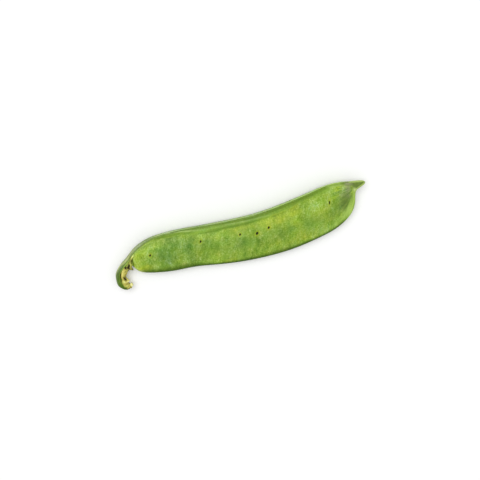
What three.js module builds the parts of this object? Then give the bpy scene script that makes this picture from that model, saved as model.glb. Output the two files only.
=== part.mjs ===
// A flat green bean pod as picked, lying on one of its broad sides.
// Millimetres, +Z up. The pod runs along X with its beak at +X, and its seam edge faces +Y.
// The origin is on the surface that it rests on, under the middle of its bounding box.
//
// The body, its hooked neck and its beak grew as one piece, the pod. The dried calyx clasps the inner
// side of the hook, and the torn stub of the stalk goes on from the hook's foot. All three follow one
// outline in the pod's own flat plane, which is then thickened, bowed, turned a little and set down.
import * as THREE from "three";

const { clamp, degToRad, lerp, smoothstep } = THREE.MathUtils;

// Outline of stalk and pod in the flat plane, in pairs: a point on the seam edge (x, y), then the point
// on the back edge (x, y) that faces it. It starts at the torn end of the stalk and ends at the beak.
const STALK_OUTLINE = [
  [4.7, -6.9, 4.4, -5.5],
  [3.75, -7.5, 3.5, -5.9],
];
const NECK_OUTLINE = [
  [2.75, -7.95, 2.8, -6.0],
  [1.25, -7.9, 2.5, -5.6],
  [-0.7, -6.4, 2.25, -4.85],
  [-1.65, -4.7, 2.15, -3.9],
  [-1.6, -2.05, 2.3, -2.4],
  [-0.75, 0.65, 2.8, -1.1],
  [1.45, 3.15, 4.2, 0.35],
  [4.1, 5.0, 6.0, 1.6],
  [6.9, 6.6, 7.9, 1.9],
];
const BODY_OUTLINE = [
  [9.5, 8.2, 9.0, -0.6],
  [12.4, 9.6, 11.6, -3.0],
  [16.4, 10.7, 16.6, -5.1],
  [22.0, 11.1, 24.0, -7.3],
  [31.0, 10.2, 33.0, -9.0],
  [42.0, 8.1, 43.5, -12.0],
  [54.0, 5.9, 55.0, -15.1],
  [66.0, 4.1, 67.0, -17.2],
  [78.0, 3.6, 79.0, -18.2],
  [89.0, 4.0, 90.0, -17.8],
  [98.0, 4.6, 100.2, -16.4],
  [104.0, 4.7, 106.2, -14.1],
  [108.3, 4.1, 110.4, -11.0],
  [111.5, 3.3, 112.9, -6.8],
];
const BEAK_OUTLINE = [
  [113.8, 2.6, 114.3, -3.1],
  [116.2, 2.0, 116.1, -1.8],
  [118.1, 1.4, 118.0, -1.3],
  [119.3, 0.75, 119.3, -0.75],
  [119.8, 0.15, 119.8, -0.25],
];

// Half thicknesses. The seam edge is a broad band, the belly swells nearer the seam than the back, and
// the back edge is a thin keel where the pod is wide. The tip of the body thins out.
const SEAM_HALF = 2.5;
const NECK_HALF = 1.2;
const HALF_PER_WIDTH = 0.09;
const KEEL = { half: 0.8, fromWidth: 4, fullWidth: 12 };
const BELLY = { swell: 1.95, skew: 0.8, power: 1.3, fromWidth: 5, fullWidth: 18 };
const TIP_THINNING = { share: 0.42, from: 82, to: 112 };

// The two edges are rounded over these depths, and the seam edge is squarer where the pod is wide.
const SEAM_DEPTH = 1.5;
const BACK_DEPTH = 1.1;
const MOST_DEPTH_PER_WIDTH = 0.42;
const SQUARENESS = { narrow: 2, wide: 3.2, fromWidth: 4, fullWidth: 14 };

// Lines along the seam band, by their distance round the section from the seam itself: the seam is a
// groove between two lips, a ridge runs outside each lip, and a faint furrow marks off the face.
const SEAM_LINES = [
  { at: 0, rise: -0.34, half: 0.28 },
  { at: 0.75, rise: 0.16, half: 0.3 },
  { at: 1.3, rise: -0.14, half: 0.25 },
  { at: 1.95, rise: 0.16, half: 0.35 },
  { at: 2.9, rise: 0.1, half: 0.4 },
  { at: 4.9, rise: -0.14, half: 0.55 },
];

// Lines beside the back edge, by their distance from it: a rounded rib, and the furrow inside it.
const BACK_LINES = [
  { at: 1.1, rise: 0.14, half: 0.8 },
  { at: 2.6, rise: -0.12, half: 0.6 },
];
const BACK_LINES_FROM_WIDTH = 5;
const BACK_LINES_FULL_WIDTH = 9;

// Seeds inside swell both sides a little.
const SEEDS = { count: 5, first: 27, pitch: 17, rise: 0.34, halfLong: 6, halfWide: 5.2, fromSeam: 0.42 };

// Lie of the pod: both ends bow up, the hook droops, and the pod leans until its weight is over the
// lowest part of its belly, which is pressed flat to FOOT_DEPTH where it rests.
const MIDDLE_X = 60;
const BOW = 0.6;
const HOOK_DROOP = 0.7;
const HOOK_DROOP_LENGTH = 16;
const TILT = degToRad(1.5);
const TWIST = degToRad(1);
const PITCH = degToRad(0.5);
const FOOT_DEPTH = 0.22;

// The calyx is a dry sheet round the neck. Each line of its outline gives a row of the pod's outline,
// counted from the torn end of the stalk, and where the sheet starts and ends there, as distances round
// the section from the seam over the upper side. A spur stands up from its inner side.
const TOUCH_GAP = 0.3;
const CALYX_THICKNESS = 0.5;
const CALYX_OUTLINE = [
  [1.1, 0.9, 5.0],
  [2, 1.3, 5.8],
  [3, 2.0, 7.0],
  [5, 3.3, 8.6],
  [7, 3.4, 8.3],
  [8, 3.3, 7.2],
  [9, 3.2, 5.9],
  [10, 3.4, 5.0],
  [11, 3.8, 4.9],
  [11.5, 4.1, 4.5],
];
const SPUR = { row: 4.4, rise: 1.2, halfRows: 0.45, half: 0.6 };

// Steps of the meshes. Points on the face crowd towards its two edges, and rings crowd where it is narrow.
const SEAM_STEPS = 8;
const FACE_STEPS = 10;
const FACE_CROWDING = 0.7;
const BACK_STEPS = 3;
const RING_STEP = { perWidth: 0.12, least: 0.55, most: 2.1 };
const CALYX_STEPS = { along: 34, round: 12 };
const NORMAL_REACH = 0.25;

const BEAN_GREEN = 0x7fa23c;
const DRY_CREAM = 0xd8c68a;
const DRY_STALK = 0xc9b578;

const bump = (distance, half) => Math.exp(-((distance / half) ** 2));
const raisedLines = (lines, distance) =>
  lines.reduce((sum, line) => sum + line.rise * bump(distance - line.at, line.half), 0);

// A natural cubic spline through values that are given at rising places.
function spline(places, values) {
  const last = places.length - 1;
  const share = new Array(last + 1).fill(0);
  const bend = new Array(last + 1).fill(0);
  for (let i = 1; i < last; i++) {
    const before = places[i] - places[i - 1];
    const after = places[i + 1] - places[i];
    const turn = (values[i + 1] - values[i]) / after - (values[i] - values[i - 1]) / before;
    const pivot = 2 * (before + after) - before * share[i - 1];
    share[i] = after / pivot;
    bend[i] = (6 * turn - before * bend[i - 1]) / pivot;
  }
  for (let i = last - 1; i > 0; i--) bend[i] -= share[i] * bend[i + 1];
  return (place) => {
    let i = 0;
    while (i < last - 1 && places[i + 1] < place) i++;
    const span = places[i + 1] - places[i];
    const b = (place - places[i]) / span;
    const a = 1 - b;
    const curved = ((a ** 3 - a) * bend[i] + (b ** 3 - b) * bend[i + 1]) * (span ** 2 / 6);
    return a * values[i] + b * values[i + 1] + curved;
  };
}

// Stations are distances along the line midway between the two edges.
const OUTLINE = [...STALK_OUTLINE, ...NECK_OUTLINE, ...BODY_OUTLINE, ...BEAK_OUTLINE];
const stations = [0];
for (let row = 1; row < OUTLINE.length; row++) {
  const [seamX, seamY, backX, backY] = OUTLINE[row].map((value, i) => value - OUTLINE[row - 1][i]);
  stations.push(stations[row - 1] + Math.hypot((seamX + backX) / 2, (seamY + backY) / 2));
}
const edges = [0, 1, 2, 3].map((i) => spline(stations, OUTLINE.map((pair) => pair[i])));
const stationOfRow = spline([...OUTLINE.keys()], stations);
const NECK_START = stationOfRow(STALK_OUTLINE.length);

// Half the thickness at a distance from the seam edge, before the edges are rounded.
function plainHalf(x, fromSeam, width) {
  const share = clamp(fromSeam / width, 0, 1);
  const seamHalf = Math.min(width / 2, NECK_HALF + HALF_PER_WIDTH * width, SEAM_HALF);
  const backHalf = lerp(seamHalf, KEEL.half, smoothstep(width, KEEL.fromWidth, KEEL.fullWidth));
  const wedge = lerp(seamHalf, backHalf, smoothstep(share, 0, 1));
  const swell = BELLY.swell * smoothstep(width, BELLY.fromWidth, BELLY.fullWidth);
  const belly = swell * Math.sin(Math.PI * share ** BELLY.skew) ** BELLY.power;
  let seeds = 0;
  for (let n = 0; n < SEEDS.count; n++) seeds += bump(x - SEEDS.first - n * SEEDS.pitch, SEEDS.halfLong);
  seeds *= SEEDS.rise * bump((share - SEEDS.fromSeam) * width, SEEDS.halfWide);
  const thinning = 1 - TIP_THINNING.share * smoothstep(x, TIP_THINNING.from, TIP_THINNING.to);
  return thinning * (wedge + belly + seeds);
}

// Places from the seam to the back edge, as [distance from the seam edge, share of the half thickness].
function placesAcross(width) {
  const seamDepth = Math.min(SEAM_DEPTH, MOST_DEPTH_PER_WIDTH * width);
  const backDepth = Math.min(BACK_DEPTH, MOST_DEPTH_PER_WIDTH * width);
  const wideness = smoothstep(width, SQUARENESS.fromWidth, SQUARENESS.fullWidth);
  const power = 2 / lerp(SQUARENESS.narrow, SQUARENESS.wide, wideness);
  const places = [];
  for (let i = 0; i <= SEAM_STEPS; i++) {
    const turn = (Math.PI / 2) * (i / SEAM_STEPS);
    places.push([seamDepth * (1 - Math.cos(turn) ** power), Math.sin(turn) ** power]);
  }
  for (let i = 1; i < FACE_STEPS; i++) {
    const even = i / FACE_STEPS;
    const share = lerp(even, (1 - Math.cos(Math.PI * even)) / 2, FACE_CROWDING);
    places.push([lerp(seamDepth, width - backDepth, share), 1]);
  }
  for (let i = 0; i < BACK_STEPS; i++) {
    const turn = (Math.PI / 2) * (i / BACK_STEPS);
    places.push([width - backDepth * (1 - Math.sin(turn)), Math.cos(turn)]);
  }
  places.push([width, 0]);
  return places;
}

// The upper half of the section at a station, from the seam to the back edge. Each point holds its
// distance from the seam edge and its height over the flat plane.
function upperSection(station) {
  const [seamX, seamY, backX, backY] = edges.map((edge) => edge(station));
  const width = Math.hypot(seamX - backX, seamY - backY);
  const plain = placesAcross(width).map(([fromSeam, share]) => {
    const x = lerp(seamX, backX, fromSeam / width);
    return new THREE.Vector2(fromSeam, share * plainHalf(x, fromSeam, width));
  });
  const seamScale = plainHalf(seamX, 0, width) / SEAM_HALF;
  const backScale = smoothstep(width, BACK_LINES_FROM_WIDTH, BACK_LINES_FULL_WIDTH);
  let round = 0;
  const points = plain.map((point, i) => {
    if (i > 0) round += point.distanceTo(plain[i - 1]);
    const before = plain[i - 1] ?? new THREE.Vector2(plain[1].x, -plain[1].y);
    const after = plain[i + 1] ?? new THREE.Vector2(before.x, -before.y);
    const along = after.clone().sub(before).normalize();
    const outward = new THREE.Vector2(-along.y, along.x);
    const seamRise = seamScale * raisedLines(SEAM_LINES, round / seamScale);
    const backRise = backScale * raisedLines(BACK_LINES, width - point.x);
    return point.clone().addScaledVector(outward, seamRise + backRise);
  });
  return { seamX, seamY, backX, backY, width, points };
}

// A point of the flat plane at a height over it, bowed and turned as the pod lies.
function lay(x, y, height) {
  const along = (x - MIDDLE_X) / MIDDLE_X;
  const droop = HOOK_DROOP * (1 - smoothstep(x, 0, HOOK_DROOP_LENGTH));
  const z = height + PITCH * (x - MIDDLE_X) + BOW * along ** 2 - droop;
  const lean = TILT + TWIST * along;
  const [across, up] = [Math.cos(lean), Math.sin(lean)];
  return new THREE.Vector3(x, y * across - z * up, y * up + z * across);
}

// The whole section at a station, from the seam over the upper side to the back edge, and back below.
function ringAt(station) {
  const { seamX, seamY, backX, backY, width, points } = upperSection(station);
  const lower = points.slice(1, -1).reverse();
  const round = [...points, ...lower.map((point) => new THREE.Vector2(point.x, -point.y))];
  return round.map((point) => {
    const share = point.x / width;
    return lay(lerp(seamX, backX, share), lerp(seamY, backY, share), point.y);
  });
}

const ringSteps = (ring) => ring.map((point, i) => point.distanceTo(ring[(i + 1) % ring.length]));
const roundLength = (station) => ringSteps(ringAt(station)).reduce((sum, step) => sum + step, 0);

// A point of the skin at a station, at a distance round the section from the seam over the upper side.
function skinPoint(station, distance) {
  const ring = ringAt(station);
  const steps = ringSteps(ring);
  let i = 0;
  let left = distance;
  while (i < steps.length - 1 && left > steps[i]) left -= steps[i++];
  return ring[i].clone().lerp(ring[(i + 1) % ring.length], left / steps[i]);
}

function skinNormal(station, distance) {
  const ahead = skinPoint(station + NORMAL_REACH, distance);
  const behind = skinPoint(station - NORMAL_REACH, distance);
  const further = skinPoint(station, distance + NORMAL_REACH);
  const nearer = skinPoint(station, distance - NORMAL_REACH);
  return further.sub(nearer).cross(ahead.sub(behind)).normalize();
}

function bodyOf(points, faces) {
  const geometry = new THREE.BufferGeometry().setFromPoints(points);
  geometry.setIndex(faces);
  return geometry;
}

function middleOf(ring) {
  return ring.reduce((sum, point) => sum.add(point), new THREE.Vector3()).divideScalar(ring.length);
}

// A closed skin over rings of points, with each end drawn together to its middle.
function skinOver(rings) {
  const count = rings[0].length;
  const lastRing = (rings.length - 1) * count;
  const points = [...rings.flat(), middleOf(rings[0]), middleOf(rings.at(-1))];
  const startHub = points.length - 2;
  const endHub = points.length - 1;
  const faces = [];
  for (let i = 0; i < count; i++) {
    const j = (i + 1) % count;
    faces.push(startHub, j, i, endHub, lastRing + i, lastRing + j);
    for (let start = 0; start < lastRing; start += count) {
      const next = start + count;
      faces.push(start + i, start + j, next + j, start + i, next + j, next + i);
    }
  }
  return bodyOf(points, faces);
}

// A closed sheet between an outer and an inner grid of points that face each other.
function sheetBetween(outer, inner) {
  const rows = outer.length;
  const columns = outer[0].length;
  const under = rows * columns;
  const faces = [];
  const quad = (a, b, c, d) => faces.push(a, b, c, a, c, d);
  const rim = (a, b) => quad(b, a, under + a, under + b);
  for (let row = 0; row < rows - 1; row++) {
    for (let column = 0; column < columns - 1; column++) {
      const a = row * columns + column;
      const d = a + columns;
      quad(a, a + 1, d + 1, d);
      quad(under + a, under + d, under + d + 1, under + a + 1);
    }
    rim((row + 1) * columns, row * columns);
    rim((row + 1) * columns - 1, (row + 2) * columns - 1);
  }
  for (let column = 0; column < columns - 1; column++) {
    rim(column, column + 1);
    rim((rows - 1) * columns + column + 1, (rows - 1) * columns + column);
  }
  return bodyOf([...outer.flat(), ...inner.flat()], faces);
}

// Rings of the skin from one station to another.
function ringsBetween(from, to) {
  const places = [from];
  while (places.at(-1) < to) {
    const { width } = upperSection(places.at(-1));
    places.push(places.at(-1) + clamp(RING_STEP.perWidth * width, RING_STEP.least, RING_STEP.most));
  }
  const fit = (to - from) / (places.at(-1) - from);
  return places.map((place) => ringAt(from + (place - from) * fit));
}

function named(name, geometry, color, roughness) {
  const mesh = new THREE.Mesh(geometry, new THREE.MeshStandardMaterial({ color, roughness }));
  mesh.name = name;
  return mesh;
}

function makePod() {
  return named("pod", skinOver(ringsBetween(NECK_START, stations.at(-1))), BEAN_GREEN, 0.5);
}

function makeStalk() {
  return named("stalk", skinOver(ringsBetween(0, NECK_START - TOUCH_GAP)), DRY_STALK, 0.85);
}

function makeCalyx() {
  const rows = CALYX_OUTLINE.map(([row]) => row);
  const startAt = spline(rows, CALYX_OUTLINE.map(([, start]) => start));
  const endAt = spline(rows, CALYX_OUTLINE.map(([, , end]) => end));
  const outer = [];
  const inner = [];
  for (let i = 0; i <= CALYX_STEPS.along; i++) {
    const row = lerp(rows[0], rows.at(-1), i / CALYX_STEPS.along);
    const station = stationOfRow(row);
    const backEdge = roundLength(station) / 2;
    outer.push([]);
    inner.push([]);
    for (let j = 0; j <= CALYX_STEPS.round; j++) {
      const distance = lerp(startAt(row), endAt(row), j / CALYX_STEPS.round);
      const spur = SPUR.rise * bump(row - SPUR.row, SPUR.halfRows) * bump(distance - backEdge, SPUR.half);
      const skin = skinPoint(station, distance);
      const outward = skinNormal(station, distance);
      inner[i].push(skin.clone().addScaledVector(outward, TOUCH_GAP));
      outer[i].push(skin.clone().addScaledVector(outward, TOUCH_GAP + CALYX_THICKNESS + spur));
    }
  }
  return named("calyx", sheetBetween(outer, inner), DRY_CREAM, 0.9);
}

// Moves the meshes to the part's origin, and presses flat what would reach under the surface.
function setDown(meshes) {
  const box = new THREE.Box3();
  for (const mesh of meshes) box.expandByObject(mesh);
  const middle = box.getCenter(new THREE.Vector3());
  const surface = box.min.z + FOOT_DEPTH;
  for (const mesh of meshes) {
    const position = mesh.geometry.attributes.position;
    for (let i = 0; i < position.count; i++) {
      const height = Math.max(position.getZ(i) - surface, 0);
      position.setXYZ(i, position.getX(i) - middle.x, position.getY(i) - middle.y, height);
    }
    mesh.geometry.computeVertexNormals();
  }
}

const pieces = [makePod(), makeCalyx(), makeStalk()];
setDown(pieces);

const beanPod = new THREE.Group();
beanPod.add(...pieces);
export default beanPod;
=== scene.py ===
"""Looks of a flat green bean pod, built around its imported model.

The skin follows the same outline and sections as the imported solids, with finer steps and finer relief.
All sizes are in millimetres, in the pod's flat plane or round its sections, until mesh_object() turns them
into metres. Only the floor is made in metres.
"""
import math

import bpy
import numpy as np
from mathutils import Matrix, Vector


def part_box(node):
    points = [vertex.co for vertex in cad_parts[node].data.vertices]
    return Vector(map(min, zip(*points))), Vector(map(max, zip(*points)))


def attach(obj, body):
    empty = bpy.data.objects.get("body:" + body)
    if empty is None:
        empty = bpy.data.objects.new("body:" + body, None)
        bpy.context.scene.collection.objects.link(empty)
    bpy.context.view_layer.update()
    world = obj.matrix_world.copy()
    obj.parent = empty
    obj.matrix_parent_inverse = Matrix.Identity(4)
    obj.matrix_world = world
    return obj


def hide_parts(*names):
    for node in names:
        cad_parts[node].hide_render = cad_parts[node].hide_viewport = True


MM = 0.001

# Outline of stalk and pod in the flat plane: x and y on the seam edge, and x and y facing it on the back.
STALK_OUTLINE = [
    (4.7, -6.9, 4.4, -5.5),
    (3.75, -7.5, 3.5, -5.9),
]
NECK_OUTLINE = [
    (2.75, -7.95, 2.8, -6.0),
    (1.25, -7.9, 2.5, -5.6),
    (-0.7, -6.4, 2.25, -4.85),
    (-1.65, -4.7, 2.15, -3.9),
    (-1.6, -2.05, 2.3, -2.4),
    (-0.75, 0.65, 2.8, -1.1),
    (1.45, 3.15, 4.2, 0.35),
    (4.1, 5.0, 6.0, 1.6),
    (6.9, 6.6, 7.9, 1.9),
]
BODY_OUTLINE = [
    (9.5, 8.2, 9.0, -0.6),
    (12.4, 9.6, 11.6, -3.0),
    (16.4, 10.7, 16.6, -5.1),
    (22.0, 11.1, 24.0, -7.3),
    (31.0, 10.2, 33.0, -9.0),
    (42.0, 8.1, 43.5, -12.0),
    (54.0, 5.9, 55.0, -15.1),
    (66.0, 4.1, 67.0, -17.2),
    (78.0, 3.6, 79.0, -18.2),
    (89.0, 4.0, 90.0, -17.8),
    (98.0, 4.6, 100.2, -16.4),
    (104.0, 4.7, 106.2, -14.1),
    (108.3, 4.1, 110.4, -11.0),
    (111.5, 3.3, 112.9, -6.8),
]
BEAK_OUTLINE = [
    (113.8, 2.6, 114.3, -3.1),
    (116.2, 2.0, 116.1, -1.8),
    (118.1, 1.4, 118.0, -1.3),
    (119.3, 0.75, 119.3, -0.75),
    (119.8, 0.15, 119.8, -0.25),
]

# Half thicknesses across the pod, and how far its two edges are rounded.
SEAM_HALF = 2.5
NECK_HALF = 1.2
HALF_PER_WIDTH = 0.09
KEEL = {"half": 0.8, "from_width": 4, "full_width": 12}
BELLY = {"swell": 1.95, "skew": 0.8, "power": 1.3, "from_width": 5, "full_width": 18}
TIP_THINNING = {"share": 0.42, "from": 82, "to": 112}
SEAM_DEPTH = 1.5
BACK_DEPTH = 1.1
MOST_DEPTH_PER_WIDTH = 0.42
SQUARENESS = {"narrow": 2, "wide": 3.2, "from_width": 4, "full_width": 14}

# Raised and sunk lines as (distance, rise, half width), from the seam and from the back edge.
SEAM_LINES = [
    (0, -0.18, 0.25),
    (0.75, 0.16, 0.3),
    (1.3, -0.14, 0.25),
    (1.95, 0.16, 0.35),
    (2.9, 0.1, 0.4),
    (4.9, -0.14, 0.55),
]
BACK_LINES = [(1.1, 0.14, 0.8), (2.6, -0.12, 0.6)]
BACK_LINES_FROM_WIDTH = 5
BACK_LINES_FULL_WIDTH = 9

# Swellings over the seeds. The first lies at an x, and from_seam is a share of the pod's width.
SEEDS = {
    "count": 5,
    "first": 27,
    "pitch": 17,
    "rise": 0.34,
    "half_long": 6,
    "half_wide": 5.2,
    "from_seam": 0.42,
}

# Lie of the pod on the surface.
MIDDLE_X = 60
BOW = 0.6
HOOK_DROOP = 0.7
HOOK_DROOP_LENGTH = 16
TILT = math.radians(1.5)
TWIST = math.radians(1)
PITCH = math.radians(0.5)

# The calyx: rows of the outline, and where the sheet starts and ends there, round the section from the seam.
TOUCH_GAP = 0.3
CALYX_GAP = 0.6 * TOUCH_GAP
CALYX_THICKNESS = 0.4
CALYX_OUTLINE = [
    (1.1, 0.9, 5.0),
    (2, 1.3, 5.8),
    (3, 2.0, 7.0),
    (5, 3.2, 8.6),
    (6.2, 3.55, 8.5),
    (7, 3.3, 8.3),
    (8, 2.7, 7.2),
    (9, 3.0, 6.6),
    (10, 2.9, 5.3),
    (10.5, 3.0, 4.3),
    (11, 3.1, 4.0),
    (11.5, 3.2, 3.8),
]

# A raised fold of the calyx: its distance round the section at rows.
CALYX_FOLD_ROWS = [2.0, 3.5, 4.5, 5.5, 7.0, 8.2]
CALYX_FOLD_AT = [5.6, 5.4, 4.9, 4.2, 3.5, 3.1]

# Standing bits of the calyx: row, distance past the back edge, rise, and half size of each.
SPURS = [
    (4.4, 0.0, 1.2, 0.45, 0.6),
    (5.3, -0.1, 0.7, 0.7, 0.3),
    (9.15, -0.3, 1.5, 0.3, 0.7),
]

# Paler, darker and greener places of the calyx: row, distance round the section, half size of each, strength.
# The darkest are painted shade in the holes and gaps of the torn sheet, and the pale one at row 11.25 is a
# painted highlight.
CALYX_PATCHES = [
    (3.0, 3.6, 0.7, 0.45, 0.1),
    (3.0, 4.5, 0.7, 0.3, -0.14),
    (3.2, 5.7, 0.9, 0.6, 0.14),
    (4.0, 4.1, 0.5, 0.35, -0.16),
    (4.3, 5.3, 0.5, 0.45, 0.22),
    (4.6, 5.0, 0.5, 0.5, 0.12),
    (5.0, 4.3, 0.4, 0.4, 0.12),
    (5.4, 4.5, 0.3, 0.3, 0.35),
    (5.45, 5.35, 0.25, 0.25, -0.5),
    (5.6, 5.9, 0.5, 0.35, 0.14),
    (5.75, 5.1, 0.28, 0.28, -0.8),
    (6.1, 4.8, 0.3, 0.28, -0.9),
    (6.2, 3.55, 0.7, 0.25, -0.6),
    (6.3, 5.8, 0.5, 0.4, -0.2),
    (6.55, 4.5, 0.25, 0.25, -0.75),
    (7.0, 3.9, 0.9, 0.3, 0.12),
    (7.1, 3.3, 0.5, 0.25, -0.5),
    (7.4, 5.6, 1.1, 0.9, -0.18),
    (7.6, 3.9, 0.6, 0.7, 0.2),
    (8.0, 2.95, 0.5, 0.3, 0.34),
    (8.1, 4.1, 0.35, 0.3, -0.2),
    (8.6, 5.3, 0.35, 0.8, -0.9),
    (8.75, 3.4, 0.22, 0.6, -0.85),
    (8.85, 4.1, 0.12, 0.45, 0.5),
    (9.05, 4.15, 0.25, 0.45, -0.9),
    (9.2, 3.5, 0.4, 0.5, -0.15),
    (9.3, 5.8, 0.5, 0.9, -0.5),
    (9.5, 4.0, 0.25, 0.25, -0.9),
    (9.65, 3.6, 0.25, 0.5, -0.35),
    (10.4, 3.4, 0.5, 0.8, -0.14),
    (10.45, 4.8, 0.2, 0.8, -0.45),
    (11.25, 3.5, 0.4, 0.6, 0.45),
]
GREEN_PATCHES = [
    (3.9, 2.9, 1.4, 0.6, 0.75),
    (5.4, 3.6, 0.5, 0.6, 0.7),
    (9.3, 3.4, 0.5, 0.6, 0.8),
    (10.2, 3.8, 0.8, 1.5, 0.55),
    (11.4, 3.4, 0.4, 0.6, 0.9),
]

# Steps of the meshes.
SEAM_STEPS = 26
FACE_STEPS = 42
FACE_CROWDING = 0.6
BACK_STEPS = 9
RING_STEP = {"per_width": 0.03, "least": 0.16, "most": 0.28}
CALYX_STEPS = {"along": 220, "round": 64}
STALK_RINGS = 60
NORMAL_REACH = 0.25

# Fine relief of the skin, as the most that each kind rises or sinks.
RELIEF = {
    "veins": 0.035,
    "swells": 0.1,
    "dents": 0.045,
    "beads": 0.05,
    "creases": 0.08,
    "rib": 0.18,
    "pinholes": 0.3,
}

# How much further apart noise takes the two sides than they are.
SIDES_APART = 9

# Pinholes on the upper side: x, y, half width and half length.
PINHOLES = [
    (17.3, 4.8, 0.43, 0.47),
    (40.7, 2.5, 0.44, 0.52),
    (58.4, -1.1, 0.46, 0.46),
    (65.8, -3.5, 0.6, 0.62),
    (71.6, -2.9, 0.5, 0.54),
    (101.3, -2.4, 0.32, 0.85),
]

# How far the veins lean to the beak, for each millimetre towards the seam.
VEIN_LEAN = 0.42

# Streaks near the tip fan out from here.
FAN_FROM_X = 115.5
FAN_FROM_Y = -0.6

# Soft patches on the upper side: x, y, half length, half width and strength. The lower side has the same
# clouds and hues, with x counted back from here.
TURNED_ROUND = 118

# Paler and darker patches.
CLOUDS = [
    (9.8, 3.5, 2.2, 6.0, 0.42),
    (9.9, -1.5, 1.6, 2.0, 0.14),
    (14.0, 7.0, 5.0, 2.4, 0.3),
    (16.0, 1.0, 3.0, 2.4, -0.1),
    (17.0, -4.0, 2.5, 3.0, -0.1),
    (17.5, 0.5, 2.5, 1.5, -0.12),
    (18.5, 8.3, 4.5, 1.4, 0.28),
    (22.3, -4.0, 1.6, 2.0, 0.2),
    (24.3, 2.0, 2.6, 3.6, -0.36),
    (24.5, 8.4, 2.6, 1.1, 0.08),
    (26.0, 9.0, 2.4, 1.4, -0.4),
    # Painted shade at the back edge.
    (28.5, -10.0, 3.0, 1.2, -0.12),
    (28.6, -3.0, 3.4, 1.8, 0.14),
    (29.0, 8.0, 2.0, 2.6, -0.24),
    (29.5, 6.0, 4.5, 3.5, -0.1),
    (34.0, 1.0, 1.8, 5.0, -0.32),
    (34.0, 8.2, 1.2, 2.0, 0.14),
    (36.2, 4.6, 1.6, 1.6, -0.2),
    (38.2, -5.0, 1.5, 1.6, 0.18),
    # Painted shade at the back edge.
    (40.0, -10.0, 3.0, 1.3, -0.12),
    (40.5, 5.0, 5.5, 3.5, -0.08),
    (41.0, 0.8, 2.0, 1.6, -0.2),
    (41.0, 4.9, 3.0, 1.5, 0.26),
    (42.0, -12.8, 1.4, 1.2, 0.12),
    (44.5, -8.6, 3.0, 2.6, 0.26),
    (45.0, -2.0, 2.5, 2.5, -0.14),
    (46.0, -14.0, 1.4, 1.0, -0.2),
    (46.5, -13.2, 1.6, 1.2, -0.45),
    (49.5, 2.7, 3.2, 1.8, 0.36),
    (50.3, -13.3, 1.8, 1.6, -0.4),
    (50.3, -11.2, 1.6, 1.2, -0.22),
    (54.2, -5.4, 1.6, 1.6, -0.22),
    (58.3, 1.5, 2.6, 1.2, 0.24),
    (58.8, -5.0, 4.2, 3.0, -0.3),
    (63.5, 2.9, 5.5, 1.1, -0.45),
    (65.8, -15.3, 3.3, 2.3, 0.2),
    (66.0, 1.2, 2.0, 1.2, -0.1),
    (67.0, -7.0, 4.5, 1.6, -0.14),
    (70.2, -7.2, 1.4, 1.2, -0.1),
    (71.8, -0.4, 3.2, 2.2, 0.3),
    (73.0, -15.0, 3.0, 2.2, -0.14),
    (76.2, -6.0, 1.1, 5.0, -0.2),
    (77.5, 0.5, 3.5, 1.4, -0.12),
    (78.0, 1.7, 3.0, 0.9, -0.34),
    (80.0, -0.4, 4.5, 1.6, 0.14),
    (81.2, -9.0, 1.2, 2.4, -0.18),
    (82.0, -12.5, 6.0, 3.5, 0.16),
    (83.8, -2.8, 2.4, 3.6, 0.2),
    (84.5, -6.0, 5.0, 3.0, 0.16),
    (88.0, 0.8, 4.0, 1.5, -0.18),
    (89.5, -8.8, 3.5, 1.6, -0.16),
    (92.0, -15.0, 8.0, 2.2, 0.22),
    (93.6, -1.4, 4.2, 3.8, 0.28),
    (94.0, -16.6, 2.2, 1.2, -0.25),
    (98.2, -8.5, 1.8, 3.0, 0.18),
    (99.0, 0.0, 3.5, 2.2, 0.14),
    (101.0, -6.5, 1.6, 2.0, -0.14),
    (103.0, -13.8, 3.0, 1.6, -0.14),
    (103.2, -1.5, 1.6, 1.2, 0.25),
    (105.5, -5.0, 3.4, 3.4, -0.2),
    (106.4, 2.6, 3.2, 1.2, 0.42),
    (109.8, 1.4, 1.6, 1.2, 0.22),
]

# Yellower and bluer patches.
HUES = [
    (12.5, -1.0, 4.0, 2.5, 1.3),
    (14.0, -5.2, 5.5, 2.2, 0.8),
    (16.5, -6.0, 3.5, 1.8, 0.6),
    (20.0, -7.8, 4.5, 2.0, 0.7),
    (23.0, -0.5, 4.0, 4.0, -0.2),
    (25.0, -8.8, 3.5, 1.6, 0.8),
    (25.5, 8.5, 3.0, 1.8, 0.8),
    (26.5, 2.5, 13.5, 10.0, -0.35),
    (32.0, 5.0, 4.0, 3.0, -0.15),
    (45.0, -4.5, 3.5, 3.0, 0.4),
    (50.0, -12.6, 3.2, 2.2, 0.9),
    (50.5, 1.5, 2.5, 2.0, -0.4),
    (53.5, -8.5, 3.0, 2.0, 0.25),
    (57.0, 3.5, 4.0, 2.5, 0.45),
    (64.5, 2.0, 4.5, 2.2, 0.8),
    (65.5, 2.0, 4.0, 1.4, 0.8),
    (72.0, 1.3, 13.0, 2.8, 0.5),
    (73.0, -15.0, 5.0, 3.2, 0.5),
    (73.5, -11.0, 3.5, 2.5, 0.4),
    (76.0, -7.0, 13.0, 8.0, 0.22),
    (76.5, 0.4, 2.6, 2.4, 0.9),
    (78.5, -0.5, 3.5, 2.5, 0.6),
    (84.0, -14.5, 5.0, 3.0, 0.5),
    (84.0, -1.0, 4.5, 2.6, 0.3),
    (85.6, 0.8, 3.0, 2.0, 0.8),
    (91.8, -1.0, 3.2, 3.4, -0.3),
    (94.0, -1.0, 3.5, 2.0, -0.25),
    (97.5, -9.5, 3.0, 3.0, 0.35),
    (101.5, -3.0, 2.4, 2.4, -0.3),
    (102.0, -14.5, 3.0, 1.6, 0.7),
    (103.5, -9.5, 2.0, 2.6, 0.4),
    (109.0, 0.0, 2.4, 2.6, -0.6),
]
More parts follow.
